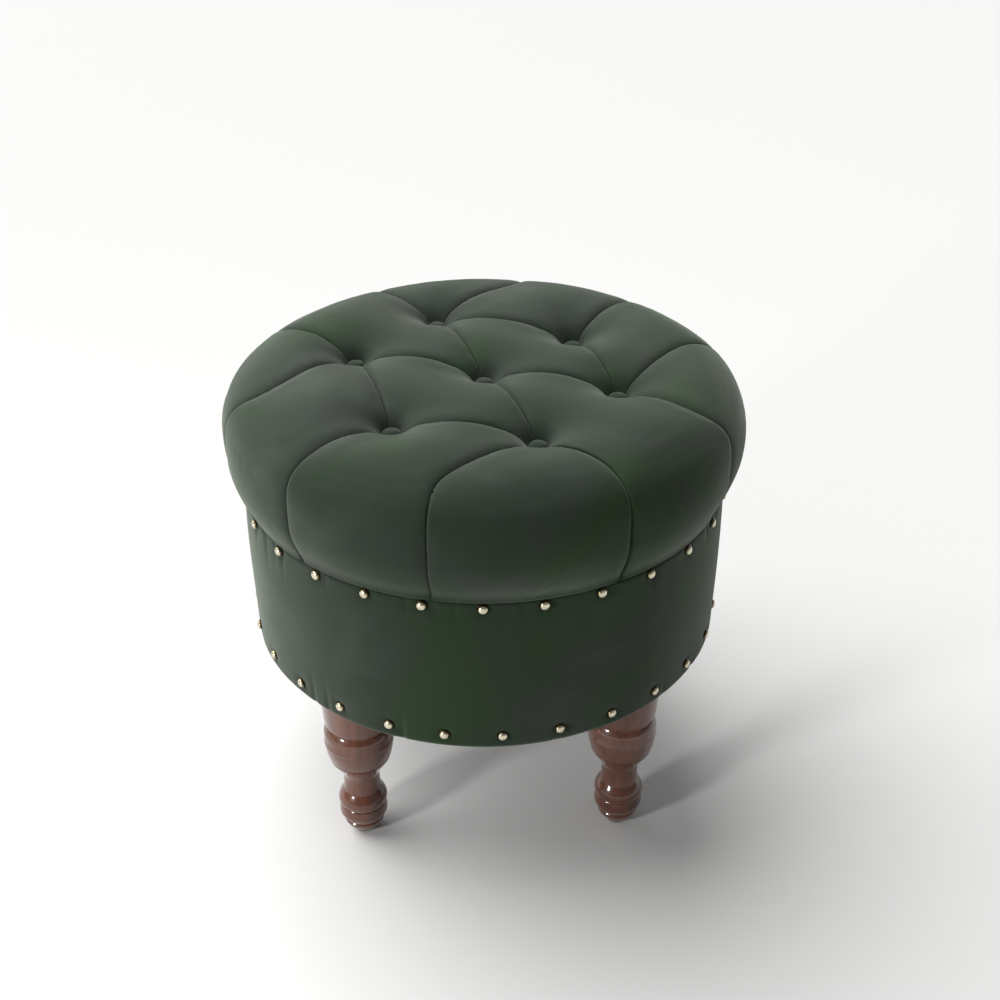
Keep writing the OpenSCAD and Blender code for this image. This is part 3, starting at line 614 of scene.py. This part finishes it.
# ---- Underside cloth and staples ----
# Black spunbond dust cloth is stretched over the underside, its edge against the turned-under
# velvet, and both are stapled to the board with galvanised wire staples.
dust_cloth, tree, shader = new_material("spunbond_dust_cloth")
place = add(tree, "ShaderNodeTexCoord", {}, {})
bonded = add(tree, "ShaderNodeTexNoise", {}, {
    "Vector": place.outputs["Object"], "Scale": 350.0, "Detail": 6.0, "Roughness": 0.7})
dust_colour = add(tree, "ShaderNodeValToRGB", {}, {"Fac": bonded.outputs["Fac"]})
set_ramp(dust_colour, [(0.3, "#17181a"), (0.7, "#2c2e30")])
tree.links.new(dust_colour.outputs["Color"], shader.inputs["Base Color"])
dust_bump = add(tree, "ShaderNodeBump", {}, {
    "Height": bonded.outputs["Fac"], "Strength": 0.3, "Distance": 0.0003})
tree.links.new(dust_bump.outputs["Normal"], shader.inputs["Normal"])
shader.inputs["Roughness"].default_value = 0.85

low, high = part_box("underside_cloth")
dust_cover = padded_disc("dust_cover", high.x, high.z, low.z, dust_cloth, 0.004, dimple=0.0002, seed=4)
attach(dust_cover, "base")
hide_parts("underside_cloth")
finish_cad(zinc, "underside_staples", "lid_staples")


# ---- Hinges and lid stay ----
# Two steel butt hinges with their pins and screws, and one folding stay of pressed steel arms
# on riveted brackets. All are zinc plated.
finish_cad(zinc, "hinge_drum_leaves", "hinge_lid_leaves", "hinge_pins",
           "hinge_drum_screws", "hinge_lid_screws")
finish_cad(zinc, "stay_drum_bracket", "stay_drum_screws", "stay_drum_rivet", "stay_lower_arm",
           "stay_elbow_rivet", "stay_upper_arm", "stay_lid_bracket", "stay_lid_screws", "stay_lid_rivet")


# ---- Lid cushion: foam ----
# A dome of seat foam is glued to the lid's board. Seven holes are cut in it, and the twines pull
# the cushion down to a button at each, so its face rises in puffs with folds between them.
foam, tree, shader = new_material("polyurethane_seat_foam")
place = add(tree, "ShaderNodeTexCoord", {}, {})
# Open cells of about 1.5 mm
cells = add(tree, "ShaderNodeTexVoronoi", {}, {"Vector": place.outputs["Object"], "Scale": 700.0})
foam_colour = add(tree, "ShaderNodeValToRGB", {}, {"Fac": cells.outputs["Distance"]})
set_ramp(foam_colour, [(0.1, "#d7cb94"), (0.6, "#efe6bd")])
tree.links.new(foam_colour.outputs["Color"], shader.inputs["Base Color"])
cell_bump = add(tree, "ShaderNodeBump", {}, {
    "Height": cells.outputs["Distance"], "Strength": 0.5, "Distance": 0.0005})
tree.links.new(cell_bump.outputs["Normal"], shader.inputs["Normal"])
shader.inputs["Roughness"].default_value = 0.9

lid_low, lid_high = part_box("lid_cover")
lid_r = lid_high.x
seam_to_bulge = 0.0437
bulge_z = lid_low.z + seam_to_bulge
buttons = [(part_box(f"button_{k}")[0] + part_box(f"button_{k}")[1]) / 2 for k in range(1, 8)]
button_at = np.array([(b.x, b.y) for b in buttons])
button_back_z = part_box("button_1")[0].z
button_top_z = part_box("button_1")[1].z
button_r = (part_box("button_1")[1].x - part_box("button_1")[0].x) / 2


def lid_outline():
    """The cushion's outline from its crown over the rim and down to the seam: radius, height and
    outward direction at each distance along it."""
    rim_power, crown_power, under_power = 7.6, 4.8, 2.8
    # Where the top's curve, stepped by radius, hands over to the side's, stepped by height
    top_share, side_share = 0.9226, 0.85
    rise = lid_high.z - bulge_z
    w = np.linspace(0, top_share, 300)
    top = np.stack([lid_r * w, bulge_z + rise * (1 - w ** rim_power) ** (1 / crown_power)], axis=1)
    v = np.linspace(side_share, 0, 200)[1:]
    side = np.stack([lid_r * (1 - v ** crown_power) ** (1 / rim_power), bulge_z + rise * v], axis=1)
    a = np.linspace(math.pi / 2, 0, 200)[1:]
    under = np.stack([drum_r + (lid_r - drum_r) * np.sin(a) ** under_power,
                      lid_low.z + (bulge_z - lid_low.z) * (1 - np.cos(a))], axis=1)
    line = np.concatenate([top, side, under])
    lengths = np.concatenate([[0], np.cumsum(np.hypot(*np.diff(line, axis=0).T))])
    along = np.linspace(0, lengths[-1], 341)
    r, z = np.interp(along, lengths, line[:, 0]), np.interp(along, lengths, line[:, 1])
    dr, dz = np.gradient(r), np.gradient(z)
    size = np.hypot(dr, dz)
    return along, r, z, -dz / size, dr / size


outline_at, outline_r, outline_z, outline_nr, outline_nz = lid_outline()
face_length = outline_at[-1]

# The folds, laid out flat by distance along the outline. Inner folds join buttons (0 in the
# middle, 1 to 6 round it). The others leave a button, swing to a bearing in degrees and then
# run straight over the rim and down to the seam.
inner_folds = [(0, 1), (0, 3), (0, 4), (0, 6), (3, 2), (2, 1), (4, 5), (5, 6)]
rim_folds = [(2, 45), (3, 77), (1, 13), (3, 118), (1, -28),
             (4, 152), (6, -62), (4, 193), (6, -103), (5, 225)]
lapped_back = (13, 45, 77, -28)
straight_from = 0.224


def fold_paths():
    """Each fold as a line of points 3 mm apart on the laid-out face."""
    paths = []
    for a, b in inner_folds:
        count = int(np.hypot(*(button_at[b] - button_at[a])) / 0.003)
        t = np.linspace(0, 1, count)[:, None]
        paths.append(button_at[a] + (button_at[b] - button_at[a]) * t)
    for k, degrees in rim_folds:
        start = math.atan2(button_at[k][1], button_at[k][0])
        turn = (math.radians(degrees) - start + math.pi) % (2 * math.pi) - math.pi
        button_out = np.hypot(*button_at[k])
        along = np.arange(button_out, face_length, 0.002)
        t = np.clip((along - button_out) / (straight_from - button_out), 0, 1)
        bearing = start + turn * (1 - (1 - t) ** 2)
        line = np.stack([along * np.cos(bearing), along * np.sin(bearing)], axis=1)
        lengths = np.concatenate([[0], np.cumsum(np.hypot(*np.diff(line, axis=0).T))])
        even = np.linspace(0, lengths[-1], int(lengths[-1] / 0.003))
        paths.append(np.stack([np.interp(even, lengths, line[:, i]) for i in (0, 1)], axis=1))
    return paths


folds = fold_paths()


def near_folds(flat):
    """For points on the laid-out face: distance to the nearest fold, 1 on the side of its lip or
    -1 on the other, the direction across the fold towards the lip, and the place on the fold."""
    best = np.full(len(flat), 1.0)
    lip = np.ones(len(flat))
    across = np.zeros((len(flat), 2))
    foot = np.zeros((len(flat), 2))
    for number, path in enumerate(folds):
        direction = path[-1] - path[0]
        # Every lip faces the front: those behind the middle are lapped the other way round
        towards_front = direction[0] < 0
        if number >= len(inner_folds):
            towards_front = rim_folds[number - len(inner_folds)][1] not in lapped_back
        flip = 1.0 if towards_front else -1.0
        for p, q in zip(path[:-1:2], list(path[2::2]) + [path[-1]]):
            d = q - p
            if not d @ d:
                continue
            off = flat - p
            t = np.clip(off @ d / (d @ d), 0, 1)
            gap = off - t[:, None] * d
            away = np.hypot(gap[:, 0], gap[:, 1])
            closer = away < best
            normal = np.array([-d[1], d[0]]) / math.sqrt(d @ d) * flip
            best[closer] = away[closer]
            lip[closer] = np.where(gap[closer] @ normal >= 0, 1.0, -1.0)
            across[closer] = normal
            foot[closer] = (p + t[:, None] * d)[closer]
    return best, lip, across, foot


def to_nearest_button(flat):
    """Distance from each point to its nearest button's centre."""
    return np.min(np.hypot(flat[:, None, 0] - button_at[:, 0], flat[:, None, 1] - button_at[:, 1]), axis=1)


pit_depth = lid_high.z - button_back_z + 0.0006
fold_depth_inside = 0.0058
fold_depth_rim = 0.0036


def pit(to_button, wide=0.0):
    """How deep the twine pulls the face in: a steep funnel in a wide shallow hollow."""
    off = np.maximum(to_button - button_r - wide, 0)
    return (pit_depth - 0.006) * np.exp(-off / 0.0105) + 0.006 * np.exp(-(off / 0.033) ** 2)


def fold_depth(foot):
    """A fold's own depth along its length: it starts at the button and stays shallow to the seam."""
    along = np.hypot(foot[:, 0], foot[:, 1])
    inside = np.clip((0.205 - along) / 0.05, 0, 1)
    deep = fold_depth_rim + (fold_depth_inside - fold_depth_rim) * inside
    return deep * (1 - np.exp(-np.maximum(to_nearest_button(foot) - button_r, 0) / 0.010))


def on_outline(flat):
    """Place and outward direction on the cushion's outline for points of the laid-out face."""
    along = np.hypot(flat[:, 0], flat[:, 1])
    bearing = np.arctan2(flat[:, 1], flat[:, 0])
    r, z = np.interp(along, outline_at, outline_r), np.interp(along, outline_at, outline_z)
    nr, nz = np.interp(along, outline_at, outline_nr), np.interp(along, outline_at, outline_nz)
    radial = np.stack([np.cos(bearing), np.sin(bearing)], axis=1)
    places = np.concatenate([radial * r[:, None], z[:, None]], axis=1)
    outward = np.concatenate([radial * nr[:, None], nz[:, None]], axis=1)
    return places, outward, along, r


def soft_layer(inset, wide, sides, step):
    """A layer under the velvet: the outline drawn in by the pits and, broadly, by the folds."""
    along = np.arange(step, face_length, step)
    angles = np.arange(sides) * 2 * math.pi / sides
    flat = np.stack([np.outer(along, np.cos(angles)), np.outer(along, np.sin(angles))], axis=-1)
    flat = flat.reshape(-1, 2)
    places, outward, _, _ = on_outline(flat)
    away, _, _, foot = near_folds(flat)
    depth = inset + pit(to_nearest_button(flat), wide) + fold_depth(foot) * np.exp(-(away / 0.016) ** 2)
    return (places - outward * depth[:, None]).reshape(len(along), sides, 3)


def dome_faces(rows, sides):
    """Faces of rings of points from the middle out, closed by the two points that follow them:
    the middle of the face and the middle of the back."""
    row, k = np.meshgrid(np.arange(rows - 1), np.arange(sides), indexing="ij")
    n = (k + 1) % sides
    near, far = row * sides, (row + 1) * sides
    faces = [tuple(f) for f in np.stack([near + k, far + k, far + n, near + n], axis=-1).reshape(-1, 4)]
    mid, back, last = rows * sides, rows * sides + 1, (rows - 1) * sides
    for k in range(sides):
        n = (k + 1) % sides
        faces += [(mid, k, n), (back, last + n, last + k)]
    return faces


def closed_layer(name, inset, wide, sides, step, floor_z, material):
    """A soft layer closed by a flat back at floor_z."""
    grid = soft_layer(inset, wide, sides, step)
    points = grid.reshape(-1, 3)
    points[:, 2] = np.maximum(points[:, 2], floor_z)
    points = np.concatenate([points, [(0, 0, button_back_z - 0.001 - inset), (0, 0, floor_z)]])
    made = mesh_object(name, points, dome_faces(len(grid), sides), material)
    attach(made, "lid")
    return made


wadding_t = 0.005
velvet_to_wadding = 0.0056
lid_foam = closed_layer("lid_foam_dome", velvet_to_wadding + wadding_t, 0.007, 160, 0.006,
                        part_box("lid_foam")[0].z, foam)
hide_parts("lid_foam")


# ---- Lid cushion: wadding ----
# Polyester wadding over the foam fills out the puffs and keeps the velvet from rubbing on it.
lid_wadding = closed_layer("lid_wadding_layer", velvet_to_wadding, 0.004, 200, 0.005,
                           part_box("lid_wadding")[0].z, wadding)
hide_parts("lid_wadding")


# ---- Velvet on the lid ----
# One square of the same velvet is laid over the wadding, folded as it is drawn down to each
# button, pleated over the rim, turned under the board and stapled. In every pleat a rounded lip
# on one side lies over the cloth of the other, which dips in under it.
def face_points():
    """Points of the laid-out face: close rows along each fold, rings round each button, rows at
    the seam and an even spread between."""
    step = 0.0046
    rows = [0.0, 0.0005, 0.0011, 0.0018, 0.0026, 0.0038, 0.0056, 0.0082]
    button_rings = [(0.0, 1), (0.004, 12), (0.0072, 30), (0.0085, 36), (0.0098, 40), (0.0118, 40),
                    (0.0145, 40)]
    kept = []
    for path in folds:
        tangent = np.gradient(path, axis=0)
        tangent /= np.linalg.norm(tangent, axis=1)[:, None]
        normal = np.stack([-tangent[:, 1], tangent[:, 0]], axis=1)
        along = np.hypot(path[:, 0], path[:, 1])
        spread = along / np.maximum(np.interp(along, outline_at, outline_r), 1e-6)
        for offset in rows:
            for way in ((1,) if offset == 0 else (1, -1)):
                line = path + normal * (way * offset * spread)[:, None]
                away, _, _, _ = near_folds(line)
                good = (away >= offset * spread * 0.93) & (to_nearest_button(line) > 0.0105)
                good &= np.hypot(line[:, 0], line[:, 1]) < face_length - 0.0036
                kept.append(line[good])
    for centre in button_at:
        for ring_r, count in button_rings:
            a = np.arange(count) * 2 * math.pi / count
            ring = centre + ring_r * np.stack([np.cos(a), np.sin(a)], axis=1)
            if ring_r > 0.0105:
                ring = ring[near_folds(ring)[0] > 0.0018]
            kept.append(ring)
    row_count = int(2 * face_length / (step * 0.866))
    grid = [(-face_length + step * (i + 0.5 * (j % 2)), -face_length + step * 0.866 * j)
            for j in range(row_count + 1) for i in range(int(2 * face_length / step) + 1)]
    grid = np.array(grid)
    along = np.hypot(grid[:, 0], grid[:, 1])
    grid = grid[(along < face_length - 0.005) & (to_nearest_button(grid) > 0.0175)]
    along = np.hypot(grid[:, 0], grid[:, 1])
    away = near_folds(grid)[0]
    kept.append(grid[away > 0.0105 * along / np.maximum(np.interp(along, outline_at, outline_r), 1e-6)])
    a = np.arange(seam_sides) * 2 * math.pi / seam_sides
    for back in (0.0026, 0.0012, 0.0):
        kept.append((face_length - back) * np.stack([np.cos(a), np.sin(a)], axis=1))
    return np.concatenate(kept)


seam_sides = 600
flat = face_points()
seam_start = len(flat) - seam_sides
laid = delaunay_2d_cdt([Vector(p) for p in flat], [], [], 0, 1e-7)
order = [ids[0] for ids in laid[3]]
faces = [tuple(order[i] for i in f) for f in laid[2]]

places, outward, along, radius = on_outline(flat)
away, lip, across, foot = near_folds(flat)
real_away = away * radius / np.maximum(along, 1e-6)
own_depth = fold_depth(foot)
lip_width = 0.0028
rounded = np.sqrt(np.clip(1 - (1 - np.clip(real_away / lip_width, 0, 1)) ** 2, 0, 1))
lip_side = own_depth * (1 - 0.72 * rounded - 0.28 * (1 - np.exp(-real_away / 0.016)))
tucked_side = own_depth * (0.55 * np.exp(-real_away / 0.0095) + 0.45 * np.exp(-real_away / 0.0022))
slot = 0.0022 * np.exp(-real_away / 0.0007) * np.clip(own_depth / fold_depth_rim, 0, 1)
at_seam = np.clip((face_length - along) / 0.004, 0, 1)
folded_in = np.where(lip > 0, lip_side, tucked_side) + slot
depth = pit(to_nearest_button(flat)) + folded_in * (0.25 + 0.75 * at_seam)
# The lip leans over the fold a little
lean = 0.0014 * np.sin(math.pi * np.clip(real_away / lip_width, 0, 1)) * (lip > 0)
lean *= np.clip(own_depth / fold_depth_rim, 0, 1) * at_seam
bearing = np.arctan2(flat[:, 1], flat[:, 0])
radial = np.stack([np.cos(bearing), np.sin(bearing)], axis=1)
around = np.stack([-radial[:, 1], radial[:, 0]], axis=1)
across_radial = np.sum(across * radial, axis=1)
across_around = np.sum(across * around, axis=1)
sideways = np.hypot(outward[:, 0], outward[:, 1]) * np.sign(np.sum(outward[:, :2] * radial, axis=1))
down_outline = np.stack([outward[:, 2] * radial[:, 0], outward[:, 2] * radial[:, 1], -sideways], axis=1)
across_3d = across_radial[:, None] * down_outline + across_around[:, None] * np.pad(around, ((0, 0), (0, 1)))
skin = places - outward * depth[:, None] - across_3d * lean[:, None]


def simulated_swell():
    """Inflates a plain copy of the cushion as cloth, held at the buttons, the folds and the hem,
    and gives how far each of its points moved."""
    sides = 180
    grid = soft_layer(0.002, 0.0, sides, 0.005)
    points = np.concatenate([grid.reshape(-1, 3), [(0, 0, button_back_z), (0, 0, lid_low.z)]])
    pad = mesh_object("swelling_pad", points, dome_faces(len(grid), sides), velvet)
    remesh = pad.modifiers.new("remesh", "REMESH")
    remesh.mode = "VOXEL"
    remesh.voxel_size = 0.005
    even = bpy.data.meshes.new_from_object(pad.evaluated_get(bpy.context.evaluated_depsgraph_get()))
    pad.modifiers.clear()
    pad.data = even
    count = len(even.vertices)
    before = np.empty(count * 3)
    even.vertices.foreach_get("co", before)
    before = before.reshape(-1, 3)
    r = np.hypot(before[:, 0], before[:, 1])
    gap = np.hypot(r[:, None] - outline_r[None, :], before[:, 2:] - outline_z[None, :])
    s = outline_at[np.argmin(gap, axis=1)]
    on_face = before[:, :2] / np.maximum(r, 1e-6)[:, None] * s[:, None]
    held = 0.9 * np.exp(-(near_folds(on_face)[0] / 0.006) ** 2)
    held = np.maximum(held, np.clip((0.020 - to_nearest_button(on_face)) / 0.006, 0, 1))
    held = np.maximum(held, np.clip((s - (face_length - 0.012)) / 0.008, 0, 1))
    held[before[:, 2] < lid_low.z + 0.004] = 1.0
    group = pad.vertex_groups.new(name="held")
    for i, weight in enumerate(held):
        group.add([i], float(weight), "REPLACE")
    cloth = pad.modifiers.new("cloth", "CLOTH")
    cloth.settings.quality = 5
    cloth.settings.mass = 0.05
    cloth.settings.tension_stiffness = 15
    cloth.settings.compression_stiffness = 12
    cloth.settings.bending_stiffness = 1.5
    cloth.settings.use_pressure = True
    cloth.settings.uniform_pressure_force = 700.0
    cloth.settings.effector_weights.gravity = 0.0
    cloth.settings.vertex_group_mass = "held"
    cloth.settings.pin_stiffness = 4.0
    cloth.collision_settings.use_collision = False
    for number in range(1, 21):
        bpy.context.scene.frame_set(number)
    blown = pad.evaluated_get(bpy.context.evaluated_depsgraph_get()).to_mesh()
    after = np.empty(count * 3)
    blown.vertices.foreach_get("co", after)
    moved = after.reshape(-1, 3) - before
    bpy.data.objects.remove(pad)
    bpy.context.scene.frame_set(1)
    size = np.linalg.norm(moved, axis=1)
    furthest = 0.007
    moved *= (np.minimum(size, furthest) / np.maximum(size, 1e-9))[:, None]
    return before, moved


before, moved = simulated_swell()
tree_of_points = KDTree(len(before))
for i, p in enumerate(before):
    tree_of_points.insert(p, i)
tree_of_points.balance()
lifts = np.zeros(len(skin))
for i, p in enumerate(skin):
    found = tree_of_points.find_n(p, 6)
    weights = np.array([1 / (d + 0.002) for _, _, d in found])
    lift = moved[[j for _, j, _ in found]] @ outward[i]
    lifts[i] = weights @ lift / weights.sum()
# The tops of the puffs stay on the outline, so the folds and hollows sink instead
free = np.clip((face_length - along) / 0.03, 0, 1)
free = free * np.clip((to_nearest_button(flat) - 0.012) / 0.02, 0, 1)
lifts = np.clip(lifts, -0.001, 0.006) - np.percentile(lifts, 75) * free
skin += outward * lifts[:, None]

# The hem: in under the board's edge, then up to the board
hem_in = 0.180
hem_points, hem_faces = [], []
seam_angles = np.arange(seam_sides) * 2 * math.pi / seam_sides
hem_line = [(drum_r - 0.0004, lid_low.z - 0.0001), (drum_r - 0.001, lid_low.z),
            (drum_r - 0.0025, lid_low.z), (drum_r - 0.006, lid_low.z), (0.5 * (drum_r + hem_in), lid_low.z),
            (hem_in, lid_low.z), (hem_in, lid_low.z + 0.0011)]
for r, z in hem_line:
    hem_points += [(r * math.cos(a), r * math.sin(a), z) for a in seam_angles]
ring_starts = [seam_start] + [len(skin) + i * seam_sides for i in range(len(hem_line))]
for a, b in zip(ring_starts[:-1], ring_starts[1:]):
    hem_faces += [(a + k, b + k, b + (k + 1) % seam_sides, a + (k + 1) % seam_sides)
                  for k in range(seam_sides)]
hem_points.append((0, 0, lid_low.z + 0.0011))
centre_point = len(skin) + len(hem_points) - 1
hem_faces += [(ring_starts[-1] + k, centre_point, ring_starts[-1] + (k + 1) % seam_sides)
              for k in range(seam_sides)]
lid_velvet = mesh_object("lid_velvet", list(skin) + hem_points, faces + hem_faces, velvet)
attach(lid_velvet, "lid")
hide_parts("lid_cover")


# ---- Covered buttons, twines and anchors ----
# Each button is a tin shell covered in the velvet. Waxed flax twine runs from its loop down
# through the cushion and the board to a steel anchor disc.
twine, tree, shader = new_material("waxed_flax_twine")
place = add(tree, "ShaderNodeTexCoord", {}, {})
lay = add(tree, "ShaderNodeTexWave", {"bands_direction": "DIAGONAL"}, {
    "Vector": place.outputs["Object"], "Scale": 300.0, "Distortion": 1.0})
twine_colour = add(tree, "ShaderNodeValToRGB", {}, {"Fac": lay.outputs["Fac"]})
set_ramp(twine_colour, [(0.2, "#8d7f5e"), (0.8, "#cdbf97")])
tree.links.new(twine_colour.outputs["Color"], shader.inputs["Base Color"])
shader.inputs["Roughness"].default_value = 0.6

button_h = button_top_z - button_back_z
for k in range(7):
    x, y = button_at[k]
    outline = [(0.0, button_back_z), (button_r * 0.8, button_back_z)]
    outline += [(button_r * (0.93 + 0.07 * math.sin(t)), button_back_z + 0.0012 * (1 - math.cos(t)))
                for t in np.linspace(0.3, math.pi / 2, 4)]
    outline += [(button_r * math.cos(t) ** 0.9, button_back_z + 0.0012 + (button_h - 0.0012) * math.sin(t))
                for t in np.linspace(0.08, math.pi / 2, 12)[:-1]]
    outline += [(0.0, button_top_z)]
    points, faces = turned(outline, (x, y), 48)
    button = mesh_object(f"covered_button_{k + 1}", points, faces, velvet)
    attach(button, "lid")
    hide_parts(f"button_{k + 1}")
finish_cad(twine, "button_twines")
finish_cad(zinc, "button_anchors")


# ---- Cloth under the lid ----
# A disc of the liner cloth covers the anchors and the staples' edge under the board.
low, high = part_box("lid_lining")
under_lid = padded_disc("lid_under_cloth", high.x, high.z, low.z, liner_cloth, 0.003, dimple=0.0001, seed=6)
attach(under_lid, "lid")
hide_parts("lid_lining")


# ---- Studio ----
# A pale floor in an even room, under a wide soft overhead light from behind and from the left.
# One small low window at the front left puts the highlights on the lacquer.
white_floor, tree, shader = new_material("pale_painted_floor")
place = add(tree, "ShaderNodeTexCoord", {}, {})
scuffs = add(tree, "ShaderNodeTexNoise", {}, {
    "Vector": place.outputs["Object"], "Scale": 3.0, "Detail": 2.0})
floor_rough = add(tree, "ShaderNodeMapRange", {}, {
    "Value": scuffs.outputs["Fac"], "To Min": 0.75, "To Max": 0.85})
tree.links.new(floor_rough.outputs["Result"], shader.inputs["Roughness"])
shader.inputs["Base Color"].default_value = linear("#cfcfce")
shader.inputs["Specular IOR Level"].default_value = 0.1
corners = [(-60, -60, 0), (60, -60, 0), (60, 60, 0), (-60, 60, 0)]
floor = mesh_object("floor", corners, [(0, 1, 2, 3)], white_floor, smooth=False)

world = bpy.data.worlds.new("studio")
bpy.context.scene.world = world
world.use_nodes = True
world.node_tree.nodes["Background"].inputs["Color"].default_value = linear("#ffffff")
world.node_tree.nodes["Background"].inputs["Strength"].default_value = 0.24


def soft_light(name, location, target, size, watts):
    """A square softbox that looks at target."""
    data = bpy.data.lights.new(name, "AREA")
    data.size = size
    data.energy = watts
    made = bpy.data.objects.new(name, data)
    made.location = location
    made.rotation_euler = (Vector(target) - Vector(location)).to_track_quat("-Z", "Y").to_euler()
    bpy.context.collection.objects.link(made)


soft_light("window", (-1.5, -1.2, 0.75), (0, 0, 0.2), 0.24, 20)

overhead = bpy.data.objects.new("overhead", bpy.data.lights.new("overhead", "SUN"))
overhead.data.energy = 5.2
overhead.data.angle = math.radians(75)
overhead.rotation_euler = Vector((0.8, -0.7, -1.25)).to_track_quat("-Z", "Y").to_euler()
bpy.context.collection.objects.link(overhead)
bpy.context.scene.view_settings.view_transform = "Standard"
